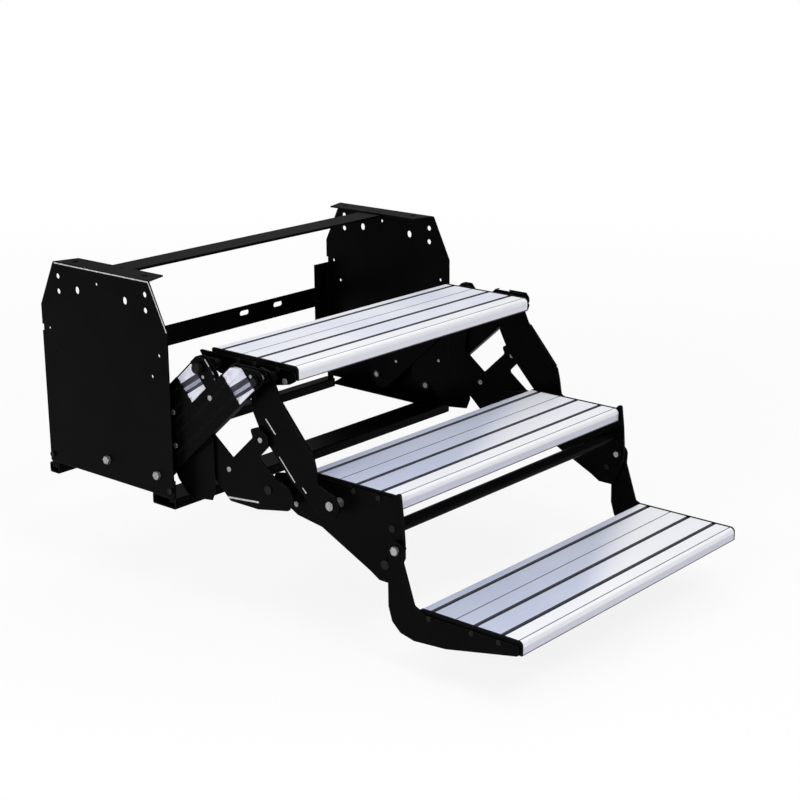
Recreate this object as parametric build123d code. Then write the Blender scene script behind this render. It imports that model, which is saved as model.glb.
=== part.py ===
from build123d import *
from math import atan2, degrees
import os

# Folding three-step entry ladder for a camper, drawn fully open.
# X runs across the vehicle, Y from the steps towards the vehicle, Z up.
# Z = 0 is the face of the top flanges that bolts against the chassis.
# Everything is drawn on the +X side and mirrored to the other.

# Widths, counted outwards from the middle board
middle_length = 610.0
bracket_wall = 4.0
link_wall = 3.5
front_link_gap = 17.0
rear_link_gap = 3.0
arm_gap = 2.5
arm_thickness = 14.0
plate_gap = 12.0
plate_wall = 2.5
upper_length = middle_length + 2 * bracket_wall
lower_length = upper_length + 4.0
front_link_x = upper_length / 2 + bracket_wall + front_link_gap
rear_link_x = front_link_x + link_wall + rear_link_gap
arm_inner = rear_link_x + link_wall + arm_gap
arm_outer = arm_inner + arm_thickness
housing_width = 2 * (arm_outer + plate_gap + plate_wall)

# Housing sizes
housing_depth = 328.0
housing_height = 374.0
top_edge_half = 124.0
slant_drop = 82.0
top_flange_width = 46.0
bottom_flange_width = 48.0
rear_flange_width = 41.0
flange_slant = 14.0
side_hole_radius = 5.0
side_hole_y = 113.0
side_hole_high = -25.0
side_hole_low = -52.0
side_slot_y = 62.0
side_slot_z = -43.0
side_slot_length = 13.5
side_slot_width = 11.0
small_hole_radius = 3.0
chassis_hole_radius = 5.5
chassis_hole_inset = 23.0
chassis_hole_y = 90.0

# Crossmember sizes
crossbar_width = 53.0
crossbar_wall = 5.0
crossbar_inset = 31.0
crossbar_screw_inset = 38.5
rear_member_top = -179.0
rear_member_height = 40.0
rear_member_wall = 3.0
rear_member_lip = 12.0
rear_slot_places = (127.0, 222.0)
rear_screw_inset = 34.0
low_member_height = 19.0
low_member_wall = 2.5
front_low_depth = 58.0
front_low_proud = 1.0
rear_low_depth = 26.0
rear_low_proud = 8.0
rear_low_drop = 4.0
tab_width = 14.0
tab_height = 40.0
screw_radius = 3.0
screw_head_radius = 5.0
screw_head_height = 3.5

# Linkage sizes
arm_length = 306.0
arm_rise = 204.0
pivot_spacing = 130.0
rear_arm_y = 4.0
arm_pivot_height = 36.0
link_drop_y = 136.0
link_drop_z = 186.0
step_rise = 172.0
upper_nose = 48.0
middle_nose = 122.0
lower_going = 243.0
pin_radius = 5.0
pin_head_radius = 7.5
running_fit = 0.05
side_gap = 0.3

# Board sizes, one extrusion for all three steps
board_depth = 197.0
board_height = 18.0
nose_height = 22.0
nose_width = 12.0
nose_radius = 8.0
top_wall = 3.0
bottom_wall = 2.5
end_wall = 3.0
groove_width = 8.5
groove_depth = 2.2
fine_groove_width = 2.0
fine_groove_depth = 1.2
wide_grooves = (40.0, 92.0, 176.0)
fine_grooves = (9.0, 130.0)
web_width = 10.0
thin_web = 6.0
cap_wall = 3.5
cap_proud = 1.0
board_screw_radius = 2.3
board_screw_head = 4.5
board_screw_height = 1.8
board_screw_length = 22.0

# Pieces of the arms
channel_wall = 2.0
channel_round = 22.0
arm_start = -16.0
arm_overrun = 18.0
bar_wall = arm_thickness - 2 * channel_wall
cover_end = arm_length - 60.0
eye_start = arm_length - 12.0
rivet_place = arm_length - 4.0
front_arm_low = -11.0
rear_span = (-35.0, 19.0)
arm_play = 2 / 3

os.makedirs("parts", exist_ok=True)

half_width = housing_width / 2
half_depth = housing_depth / 2
plate_inner = half_width - plate_wall
arm_run = (arm_length ** 2 - arm_rise ** 2) ** 0.5
arm_tilt = degrees(atan2(arm_rise, -arm_run))
front_arm_y = rear_arm_y - pivot_spacing
arm_pivot_z = arm_pivot_height - housing_height
upper_pivot_z = arm_pivot_z + arm_rise
upper_rear_y = rear_arm_y - arm_run
upper_front_y = front_arm_y - arm_run
lower_rear_y = upper_rear_y - link_drop_y
lower_front_y = upper_front_y - link_drop_y
link_pivot_z = upper_pivot_z - link_drop_z

# The front arm fills the space up to the rear arm when the steps are open
arm_spread = pivot_spacing * arm_rise / arm_length
front_span = (front_arm_low, arm_spread + rear_span[0] - arm_play)

# Front edge and top face of the three boards, and the lowest step's pivot
upper_front = upper_front_y - upper_nose
upper_top = upper_pivot_z + 21.0
middle_front = lower_front_y - middle_nose
middle_top = link_pivot_z + 35.0
lower_front = middle_front - lower_going
lower_top = middle_top - step_rise
flip_y = middle_front
flip_z = (middle_top + lower_top) / 2 + 1.0


def around(y, z, *offsets):
    """outline points given as distances from a pivot"""
    return [(y + dy, z + dz) for dy, dz in offsets]


def sheet(outline, inner, wall, radius=0.0):
    """plate in the YZ plane, standing from inner towards +X"""
    face = make_face(Polyline(*outline, close=True))
    if radius:
        face = fillet(face.vertices(), radius)
    return extrude(Plane.YZ.offset(inner) * face, wall)


def rod(y, z, start, end, radius):
    """round bar along X"""
    return extrude(Plane.YZ.offset(start) * Pos(y, z) * Circle(radius), end - start)


def tube(y, z, start, end, radius, bore):
    ring = Circle(radius) - Circle(bore)
    return extrude(Plane.YZ.offset(start) * Pos(y, z) * ring, end - start)


def hexagon(y, z, start, end, radius):
    return extrude(Plane.YZ.offset(start) * Pos(y, z) * RegularPolygon(radius, 6), end - start)


def both_sides(shape):
    solids = list(shape.solids()) + list(mirror(shape, about=Plane.YZ).solids())
    return Compound(children=solids)


def save(shape, name):
    export_step(shape, "parts/" + name + ".step")


def save_pair(shape, name):
    save(shape, "right_" + name)
    save(mirror(shape, about=Plane.YZ), "left_" + name)


# Housing side plate: one sheet with three flanges bent inwards

def side_plate():
    outline = [
        (-top_edge_half, 0), (top_edge_half, 0), (half_depth, -slant_drop),
        (half_depth, -housing_height), (-half_depth, -housing_height), (-half_depth, -slant_drop),
    ]
    plate = sheet(outline, plate_inner, plate_wall)
    flange_inner = half_width - top_flange_width
    top_face = make_face(Polyline(
        (flange_inner, -top_edge_half + flange_slant), (half_width, -top_edge_half),
        (half_width, top_edge_half), (flange_inner, top_edge_half - flange_slant), close=True))
    plate += extrude(top_face, -plate_wall)
    low_inner = half_width - bottom_flange_width
    low_face = make_face(Polyline(
        (low_inner, -top_edge_half + flange_slant), (half_width, -top_edge_half),
        (half_width, top_edge_half), (low_inner, top_edge_half - flange_slant), close=True))
    plate += Pos(0, 0, -housing_height) * extrude(low_face, plate_wall)
    rear_top = -slant_drop - 48.0
    rear_bottom = -housing_height + 36.0
    rear = Box(rear_flange_width, plate_wall, rear_top - rear_bottom)
    plate += Pos(half_width - rear_flange_width / 2, half_depth - plate_wall / 2,
                 (rear_top + rear_bottom) / 2) * rear
    # the long outer bends of the three flanges
    bends = plate.edges().filter_by(Axis.Y).filter_by_position(Axis.X, half_width - 0.1, half_width + 0.1)
    bends += plate.edges().filter_by(Axis.Z).filter_by(
        lambda e: abs(e.center().X - half_width) < 0.1 and e.center().Y > half_depth - 0.1
        and abs(e.length - (rear_top - rear_bottom)) < 0.1)
    plate = fillet(bends, plate_wall - 0.3)
    for y in (-side_hole_y, side_hole_y):
        for z in (side_hole_high, side_hole_low):
            plate -= rod(y, z, plate_inner - 1, half_width + 1, side_hole_radius)
    for y in (-side_slot_y, side_slot_y):
        slot = Rot(0, 0, 90) * SlotOverall(side_slot_length, side_slot_width)
        plate -= extrude(Plane.YZ.offset(plate_inner - 1) * Pos(y, side_slot_z) * slot, plate_wall + 2)
    small_holes = [(144, -123), (126, -163), (-142, -125), (-123, -164), (10, -25)]
    for y, z in small_holes:
        plate -= rod(y, z, plate_inner - 1, half_width + 1, small_hole_radius)
    for y in (rear_arm_y, front_arm_y):
        plate -= rod(y, arm_pivot_z, plate_inner - 1, half_width + 1, pin_radius + running_fit)
    for y in (-chassis_hole_y, chassis_hole_y):
        plate -= Pos(half_width - chassis_hole_inset, y, 0) * Cylinder(chassis_hole_radius, 3 * plate_wall)
    for y in crossbar_screws:
        plate -= Pos(crossbar_screw_x, y, 0) * Cylinder(screw_radius + running_fit, 3 * plate_wall)
    for y, z in tab_screws:
        plate -= rod(y, z, plate_inner - 1, half_width + 1, screw_radius + running_fit)
    for z in rear_screws:
        plate -= Pos(rear_screw_x, half_depth, z) * Rot(90, 0, 0) * Cylinder(screw_radius + running_fit, 20)
    # shallow notch where the rear flange starts
    notch = Pos(half_width - plate_wall / 2, half_depth, rear_top + 6) * Box(4 * plate_wall, 8, 12)
    return plate - notch


crossbar_screws = (-14.0, 17.0)
crossbar_screw_x = half_width - crossbar_screw_inset
low_tab_y = half_depth - tab_width / 2
tab_screws = [(side * low_tab_y, -housing_height + 14.0) for side in (-1, 1)]
rear_screw_x = half_width - rear_screw_inset
rear_screws = (rear_member_top - 11.0, rear_member_top - rear_member_height + 11.0)


# Crossmembers

def top_crossbar():
    bar = Box(2 * (half_width - crossbar_inset), crossbar_width, crossbar_wall)
    bar = fillet(bar.edges().filter_by(Axis.Z), 6)
    bar = Pos(0, 1.5, -plate_wall - crossbar_wall / 2) * bar
    for side in (-1, 1):
        for y in crossbar_screws:
            bar -= Pos(side * crossbar_screw_x, y, 0) * Cylinder(screw_radius + running_fit, 30)
    return bar


def rear_crossmember():
    reach = plate_inner - 20.0
    height = rear_member_height
    profile = make_face(Polyline(
        (0, 0), (rear_member_wall, 0), (rear_member_wall, -height),
        (-rear_member_lip + rear_member_wall, -height), (-rear_member_lip + rear_member_wall, 3 - height),
        (0, 3 - height), close=True))
    # the lip points back, away from the folding steps
    profile = mirror(profile, about=Plane.YZ)
    bar = extrude(Plane.YZ * profile, reach, both=True)
    bar = Pos(0, half_depth + rear_member_wall, rear_member_top) * bar
    for side in (-1, 1):
        for x in rear_slot_places:
            slot = SlotOverall(26, 10)
            cut = extrude(Plane.XZ * slot, 60, both=True)
            bar -= Pos(side * x, half_depth, rear_member_top - 14) * cut
        for z in rear_screws:
            bar -= Pos(side * rear_screw_x, half_depth, z) * Rot(90, 0, 0) * Cylinder(
                screw_radius + running_fit, 30)
    return bar


def low_crossmember(side, outer_edge, depth, top):
    """flat box section under the plates' ends: side -1 is the front, +1 the rear"""
    middle = Pos(0, outer_edge - depth / 2, top - low_member_height / 2)
    outer = middle * Box(2 * plate_inner, depth, low_member_height)
    outer = fillet(outer.edges().filter_by(Axis.X), 3)
    inner = middle * Box(2 * plate_inner, depth - 2 * low_member_wall,
                         low_member_height - 2 * low_member_wall)
    bar = outer - inner
    for end in (-1, 1):
        x = end * (plate_inner - 1.5)
        tab = Pos(x, low_tab_y, top + tab_height / 2 - 8) * Box(3, tab_width, tab_height)
        bar += tab
        bar -= Pos(x, low_tab_y, tab_screws[0][1]) * Rot(0, 90, 0) * Cylinder(
            screw_radius + running_fit, 20)
    if side < 0:
        bar = mirror(bar, about=Plane.XZ)
    return bar


def crossmember_screws():
    group = []
    for side in (-1, 1):
        for y in crossbar_screws:
            shank = Pos(side * crossbar_screw_x, y, -6.5) * Cylinder(screw_radius, 11)
            head = Pos(side * crossbar_screw_x, y, -plate_wall - crossbar_wall - 1.5) * Cylinder(
                screw_head_radius, 3)
            group.append(shank + head)
        for y, z in tab_screws:
            head = rod(y, z, half_width, half_width + screw_head_height, screw_head_radius)
            shank = rod(y, z, plate_inner - 6, half_width + 1, screw_radius)
            screw = head + shank
            group.append(screw if side > 0 else mirror(screw, about=Plane.YZ))
        for z in rear_screws:
            back = half_depth + rear_member_wall
            head = Pos(side * rear_screw_x, back + screw_head_height / 2, z) * Rot(90, 0, 0) * Cylinder(
                screw_head_radius, screw_head_height)
            shank = Pos(side * rear_screw_x, back - 2.5, z) * Rot(90, 0, 0) * Cylinder(screw_radius, 7)
            group.append(head + shank)
    return Compound(children=[s for g in group for s in g.solids()])


# Arm pivots in the housing

def arm_pivot_bolt(y):
    head = hexagon(y, arm_pivot_z, half_width, half_width + 6.0, pin_head_radius)
    shank = rod(y, arm_pivot_z, arm_inner - 2.2, half_width + 1, pin_radius)
    return head + shank


def arm_pivot_spacer(y):
    return tube(y, arm_pivot_z, arm_outer + side_gap, plate_inner, 11, pin_radius + running_fit)


def arm_pivot_clip(y):
    return tube(y, arm_pivot_z, arm_inner - side_gap - 1.5, arm_inner - side_gap, 9,
                pin_radius + running_fit)


# Arms: along the arm is u, across it is v, both measured from the housing pivot

def on_arm(base_y, shape):
    return Pos(0, base_y, arm_pivot_z) * Rot(arm_tilt, 0, 0) * shape


def corner_cut(u, way, v, turn, radius):
    """block with a hollow round side that takes the corner (u, v) off an arm piece"""
    centre_u = u - way * radius
    centre_v = v - turn * radius
    block = Pos(centre_u + way * (radius / 2 + 5), centre_v + turn * (radius / 2 + 5)) * Rectangle(
        radius + 10, radius + 10)
    block -= Pos(centre_u, centre_v) * Circle(radius)
    return extrude(Plane.YZ.offset(arm_inner - 1) * block, arm_thickness + 2)


def rounded_start(shape, low, high):
    """round both corners off at the housing end"""
    for v, turn in ((-low, 1), (-high, -1)):
        shape -= corner_cut(arm_start, -1, v, turn, channel_round)
    return shape


def arm_strip(inner, wall, start, end, low, high):
    """flat strip along the arm"""
    face = make_face(Polyline((start, -low), (start, -high), (end, -high), (end, -low), close=True))
    return extrude(Plane.YZ.offset(inner) * face, wall)


def arm_channel(low, high):
    """U channel, web on the inner side, drawn along +Y; the arm's upper side is -Z here"""
    open_side = arm_outer - channel_wall
    section = make_face(Polyline(
        (arm_inner, -high), (open_side, -high), (open_side, -low), (arm_inner, -low), close=True))
    section = fillet(section.vertices().filter_by_position(Axis.X, arm_inner - 0.1, arm_inner + 0.1), 1.6)
    section -= Pos(arm_inner + channel_wall + 50, -(low + high) / 2) * Rectangle(
        100, high - low - 2 * channel_wall)
    far_end = arm_length + arm_overrun
    channel = extrude(Plane.XZ * section, -far_end) + extrude(Plane.XZ * section, -arm_start)
    channel = rounded_start(channel, low, high)
    channel -= corner_cut(far_end, 1, -low, 1, 12)
    return drilled(channel, low, high)


def arm_cover(low, high):
    """outer sheet that closes the channel over its lower part, with two pressed lines"""
    cover = arm_strip(arm_outer - channel_wall, channel_wall, arm_start, cover_end, low, high)
    cover = rounded_start(cover, low, high)
    for share in (0.3, 0.7):
        line = Pos(arm_outer, (arm_start + cover_end) / 2, -low - (high - low) * share)
        cover -= line * Box(1.2, cover_end - arm_start + 2, 2.4)
    return drilled(cover, low, high)


def arm_bar(low, high):
    """ribbed extrusion inside the channel, the arm's strength"""
    play = channel_wall + 0.5
    width = high - low - 2 * play
    inner = arm_inner + channel_wall
    far_end = arm_length + 10
    bar = arm_strip(inner, bar_wall, arm_start + 6, far_end, low + play, high - play)
    for v, turn in ((-low - play, 1), (-high + play, -1)):
        bar -= corner_cut(arm_start + 6, -1, v, turn, channel_round - 4)
    bar -= corner_cut(far_end, 1, -low - play, 1, 12)
    ribs = 4
    for i in range(ribs):
        v = low + play + width * (i + 0.5) / ribs
        bar -= Pos(inner + bar_wall, arm_length / 2, -v) * Box(2.4, arm_length + 130, 5.0)
    return drilled(bar, low, high)


def arm_eye(low, high):
    """steel plate on the top end of the bar, which carries the upper pin"""
    far_end = arm_length + arm_overrun
    eye = arm_strip(arm_outer - channel_wall, channel_wall, eye_start, far_end, low, high)
    eye -= corner_cut(far_end, 1, -low, 1, 12)
    return drilled(eye, low, high)


def arm_bolt_places(low, high):
    share = 0.75 if high > 40 else 0.25
    return [(62.0, (low + high) / 2), (196.0, low + (high - low) * share)]


def arm_rivet_place(low, high):
    """beside the upper pin, on the wide side of the arm"""
    return (rivet_place, 12.0 if high > 40 else -16.0)


def drilled(shape, low, high):
    for u, v in arm_bolt_places(low, high) + [arm_rivet_place(low, high)]:
        shape -= rod(u, -v, arm_inner - 5, arm_outer + 5, screw_radius + running_fit)
    for u in (0, arm_length):
        shape -= rod(u, 0, arm_inner - 5, arm_outer + 5, pin_radius + running_fit)
    return shape


def arm_bolts(low, high):
    group = []
    for u, v in arm_bolt_places(low, high):
        shank = rod(u, -v, arm_inner, arm_outer + 1, screw_radius)
        head = rod(u, -v, arm_outer, arm_outer + 2.5, 4.5)
        group.append(shank + head)
    u, v = arm_rivet_place(low, high)
    group.append(rod(u, -v, arm_inner, arm_outer, screw_radius))
    return group


def level_cut(shape, height):
    """take off what stands above a level, with the arm in its open position"""
    return shape - Pos(0, upper_front_y, height + 100) * Box(2 * housing_width, 800, 200)


def front_arm_lug():
    """the front arm's web reaches down in front of its pivot"""
    outline = around(front_arm_y, arm_pivot_z, (-12, 13), (-22, -8), (-44, -30), (-60, -34),
                     (-104, -29), (-112, -10), (-112, 76), (-110, 96))
    return sheet(outline, arm_inner, channel_wall)


# Boards: hollow extrusion, grooves on top, hollow cells below, a lip under the nose

def board_profile():
    outline = Polyline(
        (0, 0), (board_depth, 0), (board_depth, -board_height), (nose_width, -board_height),
        (nose_width - 3, -nose_height), (0, -nose_height), close=True)
    face = make_face(outline)
    front_top = face.vertices().sort_by(lambda v: v.X - v.Y)[0]
    face = fillet(front_top, nose_radius)
    rear_top = face.vertices().sort_by(lambda v: -v.X - v.Y)[0]
    return fillet(rear_top, 3)


def board(length, front, top):
    face = board_profile()
    for y in wide_grooves:
        face -= Pos(y, 0) * Rectangle(groove_width, 2 * groove_depth)
    for y in fine_grooves:
        face -= Pos(y, 0) * Rectangle(fine_groove_width, 2 * fine_groove_depth)
    walls = [(end_wall + 1, end_wall + 1)]
    walls += [(y - web_width / 2, y + web_width / 2) for y in wide_grooves]
    walls += [(fine_grooves[1] - thin_web / 2, fine_grooves[1] + thin_web / 2)]
    walls += [(board_depth - end_wall, board_depth - end_wall)]
    walls.sort()
    cell_high = -top_wall
    cell_low = -board_height + bottom_wall
    for near, far in zip(walls[:-1], walls[1:]):
        width = far[0] - near[1]
        centre = (far[0] + near[1]) / 2
        cell = Rectangle(width, cell_high - cell_low)
        cell = fillet(cell.vertices(), 2)
        face -= Pos(centre, (cell_high + cell_low) / 2) * cell
    body = extrude(Plane.YZ * face, length / 2 - cap_wall, both=True)
    body = Pos(0, front, top) * body
    for side in (-1, 1):
        for y, z in board_screw_places(front, top):
            body -= Pos(side * length / 2, y, z) * Rot(0, 90, 0) * Cylinder(
                board_screw_radius + running_fit, 2 * board_screw_length + 8)
    return body


def board_screw_places(front, top):
    z = top - (top_wall + board_height - bottom_wall) / 2
    last = fine_grooves[1] if front == upper_front else wide_grooves[2]
    return [(front + y, z) for y in (wide_grooves[0], wide_grooves[1], last)]


def end_caps(length, front, top):
    profile = board_profile()
    profile += Pos(0, cap_proud) * board_profile()
    cap = extrude(Plane.YZ.offset(length / 2 - cap_wall) * profile, cap_wall)
    cap = Pos(0, front, top) * cap
    for y, z in board_screw_places(front, top):
        cap -= rod(y, z, length / 2 - 5, length / 2 + 5, board_screw_radius + running_fit)
    return both_sides(cap)


def screw_holes(shape, front, top):
    for y, z in board_screw_places(front, top):
        shape -= rod(y, z, middle_length / 2 - 10, arm_inner, board_screw_radius + running_fit)
    return shape


def board_screws(length, front, top):
    solids = []
    for y, z in board_screw_places(front, top):
        outer = length / 2 + bracket_wall
        shank = rod(y, z, outer - board_screw_length, outer + 1, board_screw_radius)
        head = rod(y, z, outer, outer + board_screw_height, board_screw_head)
        solids.append(shank + head)
    return both_sides(Compound(children=[s for g in solids for s in g.solids()]))


# Upper step bracket and pins

def upper_bracket():
    inner = upper_length / 2
    outline = around(upper_rear_y, upper_pivot_z, (46, 15))
    outline += around(upper_front_y, upper_pivot_z, (-42, 15), (-48, 8), (-44, -3), (-33, -9), (9, -18))
    outline += around(upper_rear_y, upper_pivot_z, (-4, -18), (30, -6))
    plate = sheet(outline, inner, bracket_wall, 2)
    for y in (upper_rear_y, upper_front_y):
        plate -= rod(y, upper_pivot_z, inner - 1, inner + bracket_wall + 1, pin_radius + running_fit)
    y, z = upper_rivet_place
    plate -= rod(y, z, inner - 1, inner + bracket_wall + 1, screw_radius + running_fit)
    return screw_holes(plate, upper_front, upper_top)


upper_rivet_place = (upper_front_y - 24.0, upper_pivot_z - 5.0)


def upper_bracket_rivets():
    inner = upper_length / 2
    y, z = upper_rivet_place
    rivet = rod(y, z, inner, inner + bracket_wall + 1, screw_radius)
    rivet += rod(y, z, inner + bracket_wall, inner + bracket_wall + 2, 5)
    return both_sides(rivet)


def upper_front_pin():
    inner = upper_length / 2
    shank = rod(upper_front_y, upper_pivot_z, inner + 0.2, arm_outer + 2, pin_radius)
    head = hexagon(upper_front_y, upper_pivot_z, arm_outer + side_gap, arm_outer + 6, pin_head_radius)
    return shank + head


def upper_rear_pin():
    inner = upper_length / 2
    shank = rod(upper_rear_y, upper_pivot_z, inner + 0.2, arm_outer + 2, pin_radius)
    head = rod(upper_rear_y, upper_pivot_z, arm_outer + side_gap, arm_outer + 11, 9)
    head = fillet(head.edges().filter_by(GeomType.CIRCLE).sort_by(Axis.X)[-1], 3)
    return shank + head


def pin_spacer(y, z, start, end):
    return tube(y, z, start, end, 8, pin_radius + running_fit)


def upper_spacers():
    inner = upper_length / 2 + bracket_wall
    pieces = [
        pin_spacer(upper_front_y, upper_pivot_z, inner, front_link_x - side_gap),
        pin_spacer(upper_front_y, upper_pivot_z, front_link_x + link_wall + side_gap, arm_inner - side_gap),
        pin_spacer(upper_rear_y, upper_pivot_z, inner, rear_link_x - side_gap),
        pin_spacer(upper_rear_y, upper_pivot_z, rear_link_x + link_wall + side_gap, arm_inner - side_gap),
    ]
    return both_sides(Compound(children=[s for p in pieces for s in p.solids()]))


# Links between the upper and the middle step

def front_link():
    outline = around(upper_front_y, upper_pivot_z, (12, 17), (32, 0), (34, -56), (14, -94))
    outline += around(lower_front_y, link_pivot_z, (84, 23), (20, -22), (-10, -20), (-21, 0), (-10, 18),
                      (25, 28), (30, 58), (35, 77))
    outline += around(upper_front_y, upper_pivot_z, (-32, -31), (-12, 12))
    plate = sheet(outline, front_link_x, link_wall, 6)
    # the front edge is turned outwards as a stiffening lip
    low_y, low_z = lower_front_y + 35, link_pivot_z + 77
    high_y, high_z = upper_front_y - 32, upper_pivot_z - 31
    length = ((high_y - low_y) ** 2 + (high_z - low_z) ** 2) ** 0.5
    lip_width = link_wall + rear_link_gap - side_gap
    lip = Pos(0, 0, link_wall / 2 + 0.1) * Box(lip_width, length - 12, link_wall)
    lip = Rot(degrees(atan2(low_z - high_z, low_y - high_y)), 0, 0) * lip
    plate += Pos(front_link_x + lip_width / 2, (low_y + high_y) / 2, (low_z + high_z) / 2) * lip
    for y, z in ((upper_front_y, upper_pivot_z), (lower_front_y, link_pivot_z)):
        plate -= rod(y, z, front_link_x - 5, front_link_x + link_wall + 5, pin_radius + running_fit)
    return plate


def rear_link():
    outline = around(upper_rear_y, upper_pivot_z, (15, 13), (-16, 16), (-22, -16), (-5, -112), (-54, -149),
                     (-103, -103), (-97, -90), (-116, -83), (-136, -95), (-138, -112), (-114, -136))
    outline += around(lower_rear_y, link_pivot_z, (-18, 20), (-45, 12), (-57, -6), (-44, -27), (25, -40),
                      (90, -40), (117, -16))
    outline += around(upper_rear_y, upper_pivot_z, (18, -170), (36, -128), (34, -16))
    plate = sheet(outline, rear_link_x, link_wall, 5)
    # the bottom edge is turned inwards as a short lip
    lip = Box(5.0, 58, link_wall)
    lip = Pos(rear_link_x - 1.0, lower_rear_y + 57, link_pivot_z - 40 + link_wall / 2 + 0.3) * lip
    plate += lip
    for y, z in ((upper_rear_y, upper_pivot_z), (lower_rear_y, link_pivot_z)):
        plate -= rod(y, z, rear_link_x - 5, rear_link_x + link_wall + 5, pin_radius + running_fit)
    for y, z in link_bolt_places:
        plate -= rod(y, z, rear_link_x - 5, rear_link_x + link_wall + 5, screw_radius + running_fit)
    return plate


link_bolt_places = around(upper_rear_y, upper_pivot_z, (-121, -104), (-46, -170))


def link_bolts():
    group = []
    for y, z in link_bolt_places:
        shank = rod(y, z, rear_link_x - 1, rear_link_x + link_wall + 1, screw_radius)
        head = rod(y, z, rear_link_x + link_wall, rear_link_x + link_wall + 1.8, 4.5)
        tail = rod(y, z, rear_link_x - 1.8, rear_link_x, 4.5)
        group += (shank + head + tail).solids()
    return both_sides(Compound(children=group))


# Middle step bracket, tube and pins

tube_y = middle_front + 12.0
tube_z = middle_top - 53.0
tube_radius = 10.5
hub_radius = 14.5
stop_radius = 8.0
stop_y = flip_y + hub_radius + side_gap + stop_radius
stop_z = flip_z - 30.0
middle_bolt_places = around(lower_front_y, link_pivot_z, (96, -25), (77, 1))


def middle_bracket():
    inner = middle_length / 2
    outline = around(lower_front_y, link_pivot_z, (144, 18), (72, 32), (-110, 32), (-120, 41), (-126, 41),
                     (-131, 2), (-134, -40), (-134, -63), (-111, -112), (-82, -112), (-63, -101), (41, -52),
                     (95, -44), (138, -22), (150, 0))
    plate = sheet(outline, inner, bracket_wall, 2.5)
    for y, z in ((lower_rear_y, link_pivot_z), (lower_front_y, link_pivot_z), (flip_y, flip_z)):
        plate -= rod(y, z, inner - 1, inner + bracket_wall + 1, pin_radius + running_fit)
    for y, z in [(tube_y, tube_z), (stop_y, stop_z)] + middle_bolt_places:
        plate -= rod(y, z, inner - 1, inner + bracket_wall + 1, screw_radius + running_fit)
    return screw_holes(plate, middle_front, middle_top)


def middle_bracket_bolts():
    inner = middle_length / 2
    outer = inner + bracket_wall
    group = []
    for y, z in middle_bolt_places:
        bolt = rod(y, z, inner - 1, outer + 1, screw_radius)
        bolt += rod(y, z, outer, outer + 2.5, 4.5)
        bolt += rod(y, z, inner - 1.6, inner, 4.5)
        group += bolt.solids()
    return both_sides(Compound(children=group))


def link_pin(y, link_inner):
    """bolt through the middle bracket and one link"""
    inner = middle_length / 2
    outer = link_inner + link_wall
    shank = rod(y, link_pivot_z, inner - 7, outer + 1, pin_radius)
    head = rod(y, link_pivot_z, outer + side_gap, outer + 1.9, pin_head_radius)
    nut = hexagon(y, link_pivot_z, inner - 6, inner, pin_head_radius)
    collar = rod(y, link_pivot_z, inner + bracket_wall, link_inner - side_gap, 8)
    return shank + head + nut + collar


def cross_tube():
    reach = middle_length / 2
    bar = tube(tube_y, tube_z, -reach, reach, tube_radius, tube_radius - 2)
    for side in (-1, 1):
        bar += rod(tube_y, tube_z, min(side * reach, side * (reach - 12)),
                   max(side * reach, side * (reach - 12)), tube_radius - 1)
        bar -= rod(tube_y, tube_z, min(side * (reach + 1), side * (reach - 15)),
                   max(side * (reach + 1), side * (reach - 15)), screw_radius + running_fit)
    return bar


def tube_screws():
    outer = middle_length / 2 + bracket_wall
    screw = rod(tube_y, tube_z, outer - 14, outer + 0.5, screw_radius)
    screw += rod(tube_y, tube_z, outer, outer + 1.6, 6)
    return both_sides(screw)


def stop_pins():
    outer = middle_length / 2 + bracket_wall
    pin = rod(stop_y, stop_z, outer, outer + 7, stop_radius)
    pin = fillet(pin.edges().filter_by(GeomType.CIRCLE).sort_by(Axis.X)[-1], 1)
    pin += rod(stop_y, stop_z, outer - bracket_wall - 2, outer + 1, screw_radius)
    pin += rod(stop_y, stop_z, outer - bracket_wall - 3.5, outer - bracket_wall, 5)
    return both_sides(pin)


def flip_bolts():
    inner = middle_length / 2
    outer = lower_length / 2 + bracket_wall
    bolt = rod(flip_y, flip_z, inner - 8, outer + 1, pin_radius)
    bolt += hexagon(flip_y, flip_z, outer + side_gap, outer + 6, pin_head_radius)
    return both_sides(bolt)


def flip_nuts():
    inner = middle_length / 2
    nut = hexagon(flip_y, flip_z, inner - 7, inner, pin_head_radius) - rod(
        flip_y, flip_z, inner - 9, inner + 1, pin_radius + running_fit)
    return both_sides(nut)


def flip_washers():
    start = middle_length / 2 + bracket_wall
    return both_sides(tube(flip_y, flip_z, start, lower_length / 2 - side_gap, 12,
                           pin_radius + running_fit))


# Lower step arm, J shaped

def lower_arm():
    inner = lower_length / 2
    outline = around(flip_y, flip_z, (hub_radius, 1), (hub_radius, -34), (17, -60), (16.5, -98), (9, -122),
                     (-8, -137), (-36, -143), (-100, -138), (-239, -109), (-241, -93), (-58, -93),
                     (-36, -84), (-13.5, -18), (-hub_radius, 1))
    plate = sheet(outline, inner, bracket_wall)
    low_corners = [e for e in plate.edges().filter_by(Axis.X) if e.center().Z < flip_z - 70]
    plate = fillet(low_corners, 5)
    plate += rod(flip_y, flip_z, inner, inner + bracket_wall, hub_radius)
    plate -= rod(flip_y, flip_z, inner - 1, inner + bracket_wall + 1, pin_radius + running_fit)
    return screw_holes(plate, lower_front, lower_top)


# Build and save every piece

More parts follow.
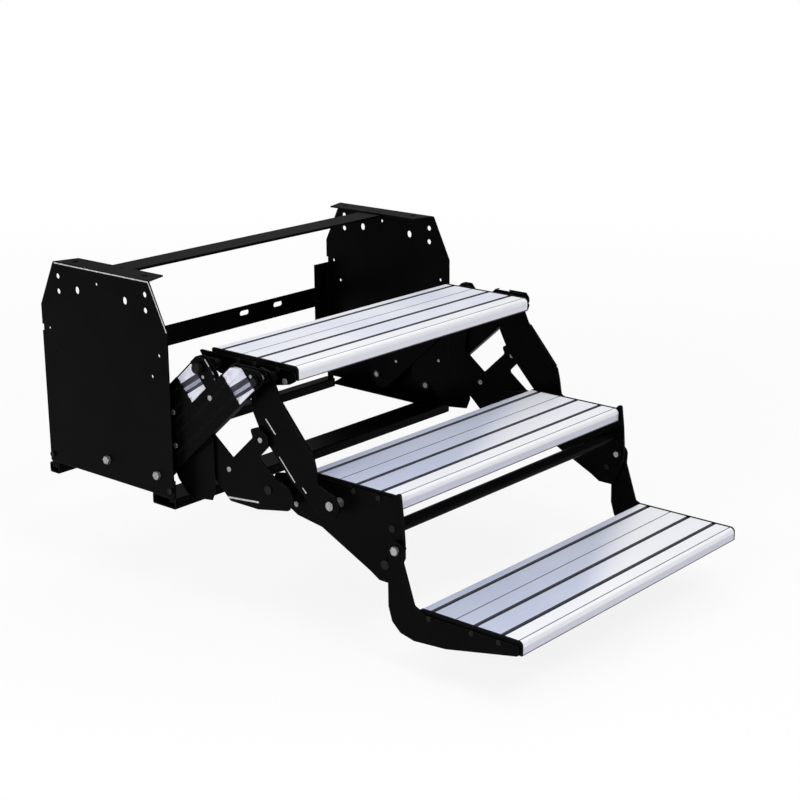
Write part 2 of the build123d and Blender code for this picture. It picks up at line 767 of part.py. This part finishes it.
save_pair(side_plate(), "side_plate")
save(top_crossbar(), "top_crossbar")
save(rear_crossmember(), "rear_crossmember")
save(low_crossmember(1, half_depth + rear_low_proud, rear_low_depth, -housing_height - rear_low_drop),
     "rear_bottom_crossmember")
save(low_crossmember(-1, half_depth + front_low_proud, front_low_depth, -housing_height),
     "front_bottom_crossmember")
save(crossmember_screws(), "crossmember_screws")
pivots = [rear_arm_y, front_arm_y]
save(both_sides(Compound(children=[s for y in pivots for s in arm_pivot_bolt(y).solids()])),
     "arm_pivot_bolts")
save(both_sides(Compound(children=[s for y in pivots for s in arm_pivot_spacer(y).solids()])),
     "arm_pivot_spacers")
save(both_sides(Compound(children=[s for y in pivots for s in arm_pivot_clip(y).solids()])),
     "arm_pivot_clips")

arm_top = upper_pivot_z + 18.0
bar_top = upper_pivot_z + 12.0
for name, base_y, span in (("front", front_arm_y, front_span), ("rear", rear_arm_y, rear_span)):
    low, high = span
    channel = level_cut(on_arm(base_y, arm_channel(low, high)), arm_top)
    if name == "front":
        channel += front_arm_lug()
    save_pair(channel, name + "_arm_channel")
    save_pair(on_arm(base_y, arm_cover(low, high)), name + "_arm_cover")
    save_pair(level_cut(on_arm(base_y, arm_bar(low, high)), bar_top), name + "_arm_bar")
    save(both_sides(level_cut(on_arm(base_y, arm_eye(low, high)), arm_top)), name + "_arm_eyes")
    pieces = [on_arm(base_y, b) for b in arm_bolts(low, high)]
    save(both_sides(Compound(children=[s for p in pieces for s in p.solids()])), name + "_arm_bolts")

save(board(upper_length, upper_front, upper_top), "upper_board")
save(end_caps(upper_length, upper_front, upper_top), "upper_end_caps")
save(board_screws(upper_length, upper_front, upper_top), "upper_board_screws")
save_pair(upper_bracket(), "upper_bracket")
save(upper_bracket_rivets(), "upper_bracket_rivets")
save(both_sides(upper_front_pin()), "upper_front_pins")
save(both_sides(upper_rear_pin()), "upper_rear_pins")
save(upper_spacers(), "upper_spacers")

save_pair(front_link(), "front_link")
save_pair(rear_link(), "rear_link")
save(link_bolts(), "rear_link_bolts")

save(board(middle_length, middle_front, middle_top), "middle_board")
save(end_caps(middle_length, middle_front, middle_top), "middle_end_caps")
save(board_screws(middle_length, middle_front, middle_top), "middle_board_screws")
save_pair(middle_bracket(), "middle_bracket")
save(middle_bracket_bolts(), "middle_bracket_bolts")
save(both_sides(link_pin(lower_front_y, front_link_x)), "front_link_pins")
save(both_sides(link_pin(lower_rear_y, rear_link_x)), "rear_link_pins")
save(cross_tube(), "cross_tube")
save(tube_screws(), "cross_tube_screws")
save(stop_pins(), "lower_stop_pins")
save(flip_bolts(), "lower_pivot_bolts")
save(flip_nuts(), "lower_pivot_nuts")
save(flip_washers(), "lower_pivot_washers")

save(board(lower_length, lower_front, lower_top), "lower_board")
save(end_caps(lower_length, lower_front, lower_top), "lower_end_caps")
save(board_screws(lower_length, lower_front, lower_top), "lower_board_screws")
save_pair(lower_arm(), "lower_arm")
print("upper rear pivot", round(upper_rear_y, 3), upper_pivot_z)
print("upper front pivot", round(upper_front_y, 3))
print("link pivots", round(lower_front_y, 3), round(lower_rear_y, 3), link_pivot_z)
print("flip pivot", flip_y, flip_z)
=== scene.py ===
import math
import bpy
from mathutils import Matrix, Vector


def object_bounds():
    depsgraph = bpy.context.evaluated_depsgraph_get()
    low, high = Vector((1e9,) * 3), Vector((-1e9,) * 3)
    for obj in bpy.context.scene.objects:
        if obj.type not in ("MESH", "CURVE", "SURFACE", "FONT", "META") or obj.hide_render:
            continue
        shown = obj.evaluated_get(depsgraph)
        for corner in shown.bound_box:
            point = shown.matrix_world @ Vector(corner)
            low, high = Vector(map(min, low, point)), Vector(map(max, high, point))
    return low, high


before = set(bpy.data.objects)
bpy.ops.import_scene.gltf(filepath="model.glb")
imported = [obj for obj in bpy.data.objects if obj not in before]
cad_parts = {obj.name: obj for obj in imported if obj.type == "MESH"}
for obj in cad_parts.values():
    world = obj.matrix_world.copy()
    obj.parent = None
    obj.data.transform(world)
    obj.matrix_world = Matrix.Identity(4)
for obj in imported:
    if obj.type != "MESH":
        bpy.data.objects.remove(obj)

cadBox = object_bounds()
print("frame loaded:", len(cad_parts), "nodes")


class Wire:
    # one socket of a material's node tree, with arithmetic on it

    def __init__(self, tree, socket):
        self.tree = tree
        self.socket = socket

    def node(self, kind, settings=None, **inputs):
        # any node: settings first, then values or links by a socket's name, or by i and its number
        made = self.tree.nodes.new(kind)
        for key, value in (settings or {}).items():
            setattr(made, key, value)
        for key, value in inputs.items():
            place = int(key[1:]) if key[0] == "i" and key[1:].isdigit() else key.replace("_", " ")
            if isinstance(value, Wire):
                self.tree.links.new(value.socket, made.inputs[place])
            else:
                made.inputs[place].default_value = value
        return made

    def out(self, made, place=0):
        return Wire(self.tree, made.outputs[place])

    def maths(self, kind, *values, clamp=False):
        inputs = {"i%d" % i: value for i, value in enumerate(values)}
        return self.out(self.node("ShaderNodeMath", {"operation": kind, "use_clamp": clamp}, **inputs))

    def vector(self, kind, *values, place=0):
        inputs = {"i%d" % i: value for i, value in enumerate(values)}
        return self.out(self.node("ShaderNodeVectorMath", {"operation": kind}, **inputs), place)

    def __add__(self, other):
        return self.maths("ADD", self, other)

    def __radd__(self, other):
        return self.maths("ADD", other, self)

    def __sub__(self, other):
        return self.maths("SUBTRACT", self, other)

    def __rsub__(self, other):
        return self.maths("SUBTRACT", other, self)

    def __mul__(self, other):
        return self.maths("MULTIPLY", self, other)

    def __rmul__(self, other):
        return self.maths("MULTIPLY", other, self)

    def above(self, low, high):
        # smooth step from low to high
        made = self.node("ShaderNodeMapRange", {"interpolation_type": "SMOOTHSTEP"},
                         Value=self, From_Min=low, From_Max=high)
        return self.out(made)

    def near(self, centre, half, soft):
        # 1 within half of centre, 0 beyond half + soft
        distance = self.maths("ABSOLUTE", self - centre)
        return 1.0 - distance.above(half, half + soft)

    def segment(self, other, start, end, low, high):
        # a straight mark from start to end in the plane of two wires: 1 within low of it, 0 beyond high
        along = (end[0] - start[0], end[1] - start[1])
        square = along[0] ** 2 + along[1] ** 2
        share = self.maths("ADD", (self - start[0]) * (along[0] / square),
                           (other - start[1]) * (along[1] / square), clamp=True)
        aside = self - start[0] - share * along[0]
        across = other - start[1] - share * along[1]
        distance = self.maths("SQRT", aside * aside + across * across)
        return 1.0 - distance.above(low, high)

    def most(self, other):
        return self.maths("MAXIMUM", self, other)


def blendColour(share, first, second):
    wire = share if isinstance(share, Wire) else first
    return wire.out(wire.node("ShaderNodeMix", {"data_type": "RGBA"}, i0=share, i6=first, i7=second), 2)


# edges that catch the light as if rounded
rounding = {"samples": 6, "radius": 0.0005}


class Finish:
    # a material with its shader, its object coordinates and a few shared helpers

    def __init__(self, name):
        self.material = bpy.data.materials.new(name)
        self.material.use_nodes = True
        tree = self.material.node_tree
        self.shader = tree.nodes["Principled BSDF"]
        self.base = Wire(tree, self.shader.outputs[0])
        self.place = self.base.out(self.base.node("ShaderNodeTexCoord"), "Object")
        split = self.base.node("ShaderNodeSeparateXYZ", Vector=self.place)
        self.x, self.y, self.z = [self.base.out(split, i) for i in range(3)]

    def noise(self, scale, detail, rough=0.55, place=None):
        made = self.base.node("ShaderNodeTexNoise", None, Vector=place or self.place,
                              Scale=scale, Detail=detail, Roughness=rough)
        return self.base.out(made)

    def streaks(self, scales, detail, rough):
        # noise with its own scale along x, y and z
        return self.noise(1.0, detail, rough, self.base.vector("MULTIPLY", self.place, scales))

    def rounded(self, radius):
        made = self.base.node("ShaderNodeBevel", {"samples": rounding["samples"]}, Radius=radius)
        return self.base.out(made)

    def edge(self, radius, low, high):
        # 1 along the sharp edges, 0 on the flats
        flat = self.base.out(self.base.node("ShaderNodeNewGeometry"), "Normal")
        turn = self.base.vector("DOT_PRODUCT", self.rounded(radius), flat, place=1)
        return (1.0 - turn).above(low, high)

    def bump(self, height, strength, distance, radius=rounding["radius"]):
        # fine relief on top of the rounded edges
        made = self.base.node("ShaderNodeBump", None, Height=height, Strength=strength,
                              Distance=distance, Normal=self.rounded(radius))
        return self.base.out(made)

    def set(self, **values):
        for key, value in values.items():
            socket = self.shader.inputs[key.replace("_", " ")]
            if isinstance(value, Wire):
                self.base.tree.links.new(value.socket, socket)
            else:
                socket.default_value = value
        return self.material


# In the finishes below, lengths are metres and a noise is its scale per metre, its detail
# and its roughness. A span is the low and the high end of a smooth step, an edge is its radius
# and its span, and a relief is its strength, its depth and, where it isn't the usual one,
# the radius of the rounded edges.

# paint of the folded sheet metal, with dust and chips, edges lighter partly from wear and partly as
# painted highlight, and painted highlights along some bends
blackPaint = {
    "colour": (0.0006, 0.0006, 0.0008, 1),
    "dusty": (0.0016, 0.0016, 0.0020, 1),
    # lighter edge colour: worn paint, and partly a painted highlight on the bends
    "worn": (0.028, 0.028, 0.033, 1),
    # colour of the painted highlights along the bends
    "bendHighlight": (0.60, 0.60, 0.63, 1),
    "cloud": (7.0, 4.0),
    "speck": (240.0, 2.0),
    "peel": (900.0, 2.0, 0.4),
    "chips": (95.0, 5.0, 0.7),
    "dustSpan": (0.35, 0.75),
    "chipSpan": (0.36, 0.62),
    "edge": (0.0011, 0.015, 0.16),
    "leastWearAndHighlight": 0.25,
    "wornAndHighlightShare": 0.75,
    "leastBendHighlight": 0.6,
    "roughness": 0.27,
    "cloudRough": 0.10,
    "speckRough": 0.05,
    "wearSmooth": 0.06,
    "shine": 0.030,
    "peelShare": 0.6,
    "relief": (0.10, 0.0004, 0.0008),
}
# painted highlights, thin bright lines along bends on outer faces: how far from the middle a face
# counts as outer and how far a line reaches from its centre line, both as spans, then the lines' ends
# as (y, z)
plateBendHighlights = {
    "outer": (0.3700, 0.3706),
    "reach": (0.00055, 0.00143),
    "marks": (((0.1200, -0.0024), (-0.1225, -0.0024)), ((-0.1240, -0.0040), (-0.1630, -0.0820))),
}
frontLinkBendHighlights = {
    "outer": (0.3325, 0.3331),
    "reach": (0.00060, 0.00156),
    "marks": (
        ((-0.3524, -0.2029), (-0.3724, -0.2236)),
        ((-0.3809, -0.2613), (-0.4138, -0.2966)),
        ((-0.4316, -0.3028), (-0.4385, -0.3093)),
    ),
}
rearLinkBendHighlights = {
    "outer": (0.3390, 0.3396),
    "reach": (0.00080, 0.00208),
    "marks": (((-0.2566, -0.3554), (-0.3356, -0.3473)),),
}


def paintFinish(name, values, bendHighlights=None):
    f = Finish(name)
    cloud = f.noise(*values["cloud"])
    speck = f.noise(*values["speck"])
    peel = f.noise(*values["peel"])
    edge = f.edge(*values["edge"])
    chips = f.noise(*values["chips"]).above(*values["chipSpan"])
    # edges lighter: partly worn paint, patchier with the chips, and partly a painted highlight along
    # the bends
    wearAndHighlight = edge * (values["leastWearAndHighlight"] + (1.0 - values["leastWearAndHighlight"]) * chips)
    colour = blendColour(cloud.above(*values["dustSpan"]), values["colour"], values["dusty"])
    colour = blendColour(wearAndHighlight * values["wornAndHighlightShare"], colour, values["worn"])
    # painted highlights: thin bright lines along the bends of outer faces, broken up by the chips
    if bendHighlights:
        outside = f.base.maths("ABSOLUTE", f.x).above(*bendHighlights["outer"])
        patchy = values["leastBendHighlight"] + (1.0 - values["leastBendHighlight"]) * chips
        for begin, end in bendHighlights["marks"]:
            mark = f.y.segment(f.z, begin, end, *bendHighlights["reach"])
            colour = blendColour(mark * outside * patchy, colour, values["bendHighlight"])
    roughness = values["roughness"] + values["cloudRough"] * cloud + values["speckRough"] * speck
    height = peel * values["peelShare"] + speck * (1.0 - values["peelShare"])
    return f.set(Base_Color=colour, Roughness=roughness - values["wearSmooth"] * wearAndHighlight,
                 Normal=f.bump(height, *values["relief"]), Specular_IOR_Level=values["shine"])


# bare extrusion of the boards: grooves and the front strip are counted from the front edge backwards,
# and the spans of face, lip and top from the top face, with minus for downwards
boardMetal = {
    "colour": (0.57, 0.62, 0.82, 1),
    "bright": (0.82, 0.86, 0.96, 1),
    # near-white for the front strip, and for painted light and painted highlight on the boards
    "front": (0.94, 0.95, 0.98, 1),
    # colour of the painted shade on the nose's front face
    "grey": (0.60, 0.61, 0.72, 1),
    # colour of the painted shade on the boards' left rear
    "paintedShade": (0.38, 0.42, 0.58, 1),
    "dark": (0.002, 0.002, 0.006, 1),
    "worn": (0.9, 0.92, 0.97, 1),
    "streaks": ((3.0, 700.0, 300.0), 3.0, 0.6),
    "fineStreaks": ((9.0, 2600.0, 900.0), 2.0, 0.6),
    "grain": (420.0, 3.0, 0.6),
    "cloud": (3.2, 3.0),
    "streakSpan": (0.3, 0.7),
    "cloudSpan": (0.35, 0.7),
    "toneShares": (0.45, 0.25, 0.45),   # streaks, grain, cloud
    "lightSweep": 2.0,
    "lightSweepFrom": 0.060,
    "lightSweepSpan": (-0.10, 0.08),
    "frontSpan": (0.033, 0.041),
    "frontShare": 0.85,
    "faceSpan": (-0.011, -0.007),
    "faceShadeShare": 0.35,
    "lipSpan": (-0.0207, -0.0201),
    "topSpan": (-0.0030, -0.0024),
    "grooves": (0.040, 0.092, 0.176),
    "grooveHalf": 0.0042,
    "fine": (0.009, 0.130),
    "fineHalf": 0.0011,
    "fineShare": 0.8,
    "grooveSoft": 0.0003,
    "darkShare": 0.96,
    "edge": (0.0008, 0.02, 0.2),
    "edgeShare": 0.4,
    "roughness": 0.36,
    "streakRough": 0.12,
    "darkRough": 0.45,
    "metallic": 0.22,
    "shine": 0.12,
    "reliefShares": (0.5, 0.3, 0.2),   # streaks, fine streaks, grain
    "relief": (0.16, 0.0003),
}
# how much painted light each board has in cloudy patches, how much painted shade its left rear and nose
# face get, and how much painted highlight its right front gets
boardPaintedLight = {
    "upper_board": {"light": 1.3, "paintedShade": 0.0, "rightFrontHighlight": 0.0},
    "middle_board": {"light": 0.35, "paintedShade": 0.45, "rightFrontHighlight": 0.75},
    "lower_board": {"light": 0.15, "paintedShade": 0.45, "rightFrontHighlight": 0.85},
}


def boardFinish(name, node, tones, values):
    f = Finish(name)
    along = f.y - min(corner[1] for corner in node.bound_box)
    height = f.z - max(corner[2] for corner in node.bound_box)
    streaks = f.streaks(*values["streaks"])
    fineStreaks = f.streaks(*values["fineStreaks"])
    grain = f.noise(*values["grain"])
    cloud = f.noise(*values["cloud"])
    streakTone, grainTone, cloudTone = values["toneShares"]
    tone = (streakTone * streaks.above(*values["streakSpan"]) + grainTone * grain
            + cloudTone * cloud.above(*values["cloudSpan"]))
    colour = blendColour(tone, values["colour"], values["bright"])
    # painted light: cloudy patches of near-white, strongest on the upper board
    colour = blendColour(cloud * tones["light"], colour, values["front"])
    # painted shade towards the left rear, painted highlight towards the right front
    lightSweep = f.x - values["lightSweep"] * (along - values["lightSweepFrom"])
    litSide = lightSweep.above(*values["lightSweepSpan"])
    colour = blendColour((1.0 - litSide) * tones["paintedShade"], colour, values["paintedShade"])
    colour = blendColour(litSide * tones["rightFrontHighlight"], colour, values["front"])
    strip = 1.0 - along.above(*values["frontSpan"])
    colour = blendColour(strip * values["frontShare"], colour, values["front"])
    # painted shade: the nose's front face greyer, more so on boards with more painted shade
    face = 1.0 - height.above(*values["faceSpan"])
    colour = blendColour(face * (values["faceShadeShare"] + tones["paintedShade"]), colour, values["grey"])
    # shadow under the lip and in the grooves of the top
    dark = 1.0 - height.above(*values["lipSpan"])
    top = height.above(*values["topSpan"])
    for centre in values["grooves"]:
        dark = dark.most(along.near(centre, values["grooveHalf"], values["grooveSoft"]) * top)
    for centre in values["fine"]:
        fine = along.near(centre, values["fineHalf"], values["grooveSoft"])
        dark = dark.most(fine * top * values["fineShare"])
    colour = blendColour(dark * values["darkShare"], colour, values["dark"])
    colour = blendColour(f.edge(*values["edge"]) * values["edgeShare"], colour, values["worn"])
    roughness = values["roughness"] + values["streakRough"] * streaks + values["darkRough"] * dark
    streakRelief, fineRelief, grainRelief = values["reliefShares"]
    relief = streaks * streakRelief + fineStreaks * fineRelief + grain * grainRelief
    return f.set(Base_Color=colour, Roughness=roughness, Metallic=values["metallic"] * (1.0 - dark),
                 Specular_IOR_Level=values["shine"], Normal=f.bump(relief, *values["relief"]))


# bare bars of the arms, with dark bands and a line at a slope;
# bands are centre and half width, counted down from their upper edge
barMetal = {
    "colour": (0.74, 0.75, 0.84, 1),
    "shade": (0.60, 0.61, 0.72, 1),
    "dark": (0.006, 0.006, 0.018, 1),
    "line": (0.30, 0.31, 0.42, 1),
    "worn": (0.9, 0.9, 0.95, 1),
    "grain": (60.0, 4.0),
    "grainSpan": (0.35, 0.7),
    "pits": (420.0, 2.0),
    "edge": (0.0008, 0.02, 0.2),
    "edgeShare": 0.5,
    "slope": (0.530, 0.848),
    "bands": ((0.0050, 0.0046), (0.0185, 0.0027)),
    "bandSoft": 0.0005,
    "bandShare": 0.97,
    "lineAt": 0.0127,
    "lineHalf": 0.0022,
    "lineSoft": 0.0008,
    "roughness": 0.40,
    "grainRough": 0.14,
    "metallic": 0.15,
    "relief": (0.08, 0.0003),
}
# height of the upper edge of the dark bands, counted square to their slope
barTops = {"front": -0.2871, "rear": -0.2373}


def barFinish(name, top, values):
    f = Finish(name)
    below = top - (f.y * values["slope"][0] + f.z * values["slope"][1])
    grain = f.noise(*values["grain"])
    pits = f.noise(*values["pits"])
    colour = blendColour(grain.above(*values["grainSpan"]), values["colour"], values["shade"])
    colour = blendColour(f.edge(*values["edge"]) * values["edgeShare"], colour, values["worn"])
    for centre, half in values["bands"]:
        band = below.near(centre, half, values["bandSoft"])
        colour = blendColour(band * values["bandShare"], colour, values["dark"])
    line = below.near(values["lineAt"], values["lineHalf"], values["lineSoft"])
    colour = blendColour(line, colour, values["line"])
    return f.set(Base_Color=colour, Roughness=values["roughness"] + values["grainRough"] * grain,
                 Metallic=values["metallic"], Normal=f.bump(pits, *values["relief"]))


# moulded end caps
capPlastic = {
    "colour": (0.0012, 0.0012, 0.0016, 1),
    "light": (0.0035, 0.0035, 0.0042, 1),
    "worn": (0.02, 0.02, 0.024, 1),
    "grain": (1300.0, 2.0),
    "cloud": (30.0, 3.0),
    "cloudSpan": (0.4, 0.7),
    "lightShare": 0.6,
    "edge": (0.0007, 0.02, 0.25),
    "edgeShare": 0.3,
    "roughness": 0.46,
    "cloudRough": 0.1,
    "shine": 0.06,
    "relief": (0.12, 0.0002),
}


def capFinish(name, values):
    f = Finish(name)
    grain = f.noise(*values["grain"])
    cloud = f.noise(*values["cloud"])
    light = cloud.above(*values["cloudSpan"]) * values["lightShare"]
    colour = blendColour(light, values["colour"], values["light"])
    colour = blendColour(f.edge(*values["edge"]) * values["edgeShare"], colour, values["worn"])
    return f.set(Base_Color=colour, Roughness=values["roughness"] + values["cloudRough"] * cloud,
                 Specular_IOR_Level=values["shine"], Normal=f.bump(grain, *values["relief"]))


# plated bolts, screws and pins: what both platings share, then each plating
plating = {
    "cloud": (70.0, 4.0),
    "grain": (700.0, 2.0),
    "cloudSpan": (0.4, 0.7),
    "edge": (0.0006, 0.02, 0.25),
    "edgeShare": 0.5,
    "cloudRough": 0.18,
    "shine": 0.2,
    "relief": (0.08, 0.0002),
}
zincPlate = {
    "colour": (0.42, 0.43, 0.45, 1),
    "warm": (0.30, 0.29, 0.26, 1),
    "worn": (0.75, 0.75, 0.77, 1),
    "metallic": 0.9,
    "roughness": 0.34,
}
blackZinc = {
    "colour": (0.0040, 0.0040, 0.0048, 1),
    "warm": (0.0080, 0.0076, 0.0072, 1),
    "worn": (0.045, 0.045, 0.050, 1),
    "metallic": 0.4,
    "roughness": 0.38,
}


def zincFinish(name, tones, values):
    f = Finish(name)
    cloud = f.noise(*values["cloud"])
    grain = f.noise(*values["grain"])
    colour = blendColour(cloud.above(*values["cloudSpan"]), tones["colour"], tones["warm"])
    colour = blendColour(f.edge(*values["edge"]) * values["edgeShare"], colour, tones["worn"])
    return f.set(Base_Color=colour, Roughness=tones["roughness"] + values["cloudRough"] * cloud,
                 Metallic=tones["metallic"], Specular_IOR_Level=values["shine"],
                 Normal=f.bump(grain, *values["relief"]))


paint = paintFinish("blackPaint", blackPaint)
platePaintWithHighlights = paintFinish("platePaintWithHighlights", blackPaint, plateBendHighlights)
frontLinkPaintWithHighlights = paintFinish("frontLinkPaintWithHighlights", blackPaint, frontLinkBendHighlights)
rearLinkPaintWithHighlights = paintFinish("rearLinkPaintWithHighlights", blackPaint, rearLinkBendHighlights)
bars = {end: barFinish(end + "BarMetal", top, barMetal) for end, top in barTops.items()}
plastic = capFinish("capPlastic", capPlastic)
zinc = zincFinish("zincPlate", zincPlate, plating)
dimZinc = zincFinish("blackZinc", blackZinc, plating)

# the first row with words that a piece's name holds gives its finish; any other piece is plain paint
finishWords = (
    (("end_caps",), plastic),
    (("front_arm_bar",), bars["front"]),
    (("rear_arm_bar",), bars["rear"]),
    (("side_plate",), platePaintWithHighlights),
    (("left_front_link", "right_front_link"), frontLinkPaintWithHighlights),
    (("left_rear_link", "right_rear_link"), rearLinkPaintWithHighlights),
    (("arm_bolts", "link_bolts", "bracket_bolts", "pivot_bolts", "front_link_pins", "rivets"), zinc),
    (("screws", "nuts", "washers", "pins", "clips", "spacers"), dimZinc),
)


def finishOf(name, node):
    if name in boardPaintedLight:
        return boardFinish(name + "Metal", node, boardPaintedLight[name], boardMetal)
    for words, material in finishWords:
        if any(word in name for word in words):
            return material
    return paint


for name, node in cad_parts.items():
    chosen = finishOf(name, node)
    for place in node.material_slots:
        place.material = chosen
print("finishes set")


# white floor and surroundings
studio = {
    "floorDrop": 0.06,
    "floorSize": 30.0,
    "floorGrey": 0.85,
    "floorRoughness": 0.9,
    "white": (1.0, 1.0, 1.0, 1),
    "glow": 0.85,   # share of plain white near the object
    "fade": (1.0, 4.0),   # from the middle of the floor, where the rest turns white too
    "horizon": 0.10,
    "zenith": 1.4,
}


def whiteToCamera(name, values):
    # mostly white to the camera with a faint shadow left, all white further out,
    # and ordinary matt paint to everything else
    material = bpy.data.materials.new(name)
    material.use_nodes = True
    tree = material.node_tree
    shader = tree.nodes["Principled BSDF"]
    grey = values["floorGrey"]
    shader.inputs["Base Color"].default_value = (grey, grey, grey, 1)
    shader.inputs["Roughness"].default_value = values["floorRoughness"]
    matt = Wire(tree, shader.outputs[0])
    toCamera = matt.out(matt.node("ShaderNodeLightPath"), "Is Camera Ray")
    spot = matt.out(matt.node("ShaderNodeTexCoord"), "Object")
    far = matt.vector("LENGTH", spot, place=1).above(*values["fade"])
    share = toCamera * (values["glow"] + (1.0 - values["glow"]) * far)
    white = matt.out(matt.node("ShaderNodeEmission", None, Color=values["white"], Strength=1.0))
    mixed = matt.out(matt.node("ShaderNodeMixShader", None, i0=share, i1=matt, i2=white))
    tree.links.new(mixed.socket, tree.nodes["Material Output"].inputs["Surface"])
    return material


def makeFloor(values):
    half = values["floorSize"] / 2
    level = cadBox[0][2] - values["floorDrop"]
    corners = [(-half, -half, level), (half, -half, level), (half, half, level), (-half, half, level)]
    mesh = bpy.data.meshes.new("floor")
    mesh.from_pydata(corners, [], [(0, 1, 2, 3)])
    mesh.materials.append(whiteToCamera("floorWhite", values))
    made = bpy.data.objects.new("floor", mesh)
    bpy.context.collection.objects.link(made)
    return made


def makeWorld(values):
    # white to the camera, and to everything else a dome that is brighter overhead
    made = bpy.data.worlds.new("studio")
    made.use_nodes = True
    tree = made.node_tree
    sky = tree.nodes["Background"]
    sky.inputs["Color"].default_value = values["white"]
    base = Wire(tree, sky.outputs[0])
    toCamera = base.out(base.node("ShaderNodeLightPath"), "Is Camera Ray")
    direction = base.out(base.node("ShaderNodeTexCoord"), "Generated")
    rise = base.out(base.node("ShaderNodeSeparateXYZ", Vector=direction), "Z").most(0.0)
    dome = values["horizon"] + (values["zenith"] - values["horizon"]) * rise * rise
    strength = toCamera + (1.0 - toCamera) * dome
    tree.links.new(strength.socket, sky.inputs["Strength"])
    return made


floor = makeFloor(studio)
bpy.context.scene.world = makeWorld(studio)

# soft rectangular lamps, all turned towards the middle of the steps
middle = (0.0, -0.35, -0.25)
lamps = {
    "keyLight": {"place": (-0.9, -2.4, 2.2), "size": (1.0, 0.7), "power": 28},
    "sideLight": {"place": (-3.2, -0.7, 0.9), "size": (1.2, 0.9), "power": 40},
    "rimLight": {"place": (2.4, 1.8, 1.8), "size": (1.6, 1.0), "power": 5},
}


def areaLight(name, aim, values):
    data = bpy.data.lights.new(name, "AREA")
    data.shape = "RECTANGLE"
    data.size, data.size_y = values["size"]
    data.energy = values["power"]
    lamp = bpy.data.objects.new(name, data)
    bpy.context.collection.objects.link(lamp)
    lamp.location = values["place"]
    lamp.rotation_euler = (Vector(aim) - Vector(values["place"])).to_track_quat("-Z", "Y").to_euler()


for name, values in lamps.items():
    areaLight(name, middle, values)
print("studio set")


# the photograph's camera, fitted to the straight edges of the object
photoCamera = {
    "azimuth": -49.35,
    "pitch": 16.65,
    "roll": 0.35,
    "focalPixels": 1726.0,
    "framePixels": 800.0,
    "sensor": 36.0,
    "place": (-2.213, -2.252, 0.625),
}


def makeCamera(values):
    azimuth, pitch, roll = [math.radians(values[key]) for key in ("azimuth", "pitch", "roll")]
    level = math.cos(pitch)
    back = Vector((math.sin(azimuth) * level, -math.cos(azimuth) * level, math.sin(pitch)))
    right = (-back).cross(Vector((0, 0, 1))).normalized()
    down = (-back).cross(right)
    across = right * math.cos(roll) + down * math.sin(roll)
    drop = -right * math.sin(roll) + down * math.cos(roll)
    data = bpy.data.cameras.new("camera")
    data.sensor_width = values["sensor"]
    data.lens = values["sensor"] * values["focalPixels"] / values["framePixels"]
    camera = bpy.data.objects.new("camera", data)
    bpy.context.collection.objects.link(camera)
    turn = Matrix((across, -drop, back)).transposed()
    camera.matrix_world = Matrix.Translation(values["place"]) @ turn.to_4x4()
    return camera


bpy.context.scene.camera = makeCamera(photoCamera)
bpy.context.scene.view_settings.view_transform = "Standard"
print("camera set")
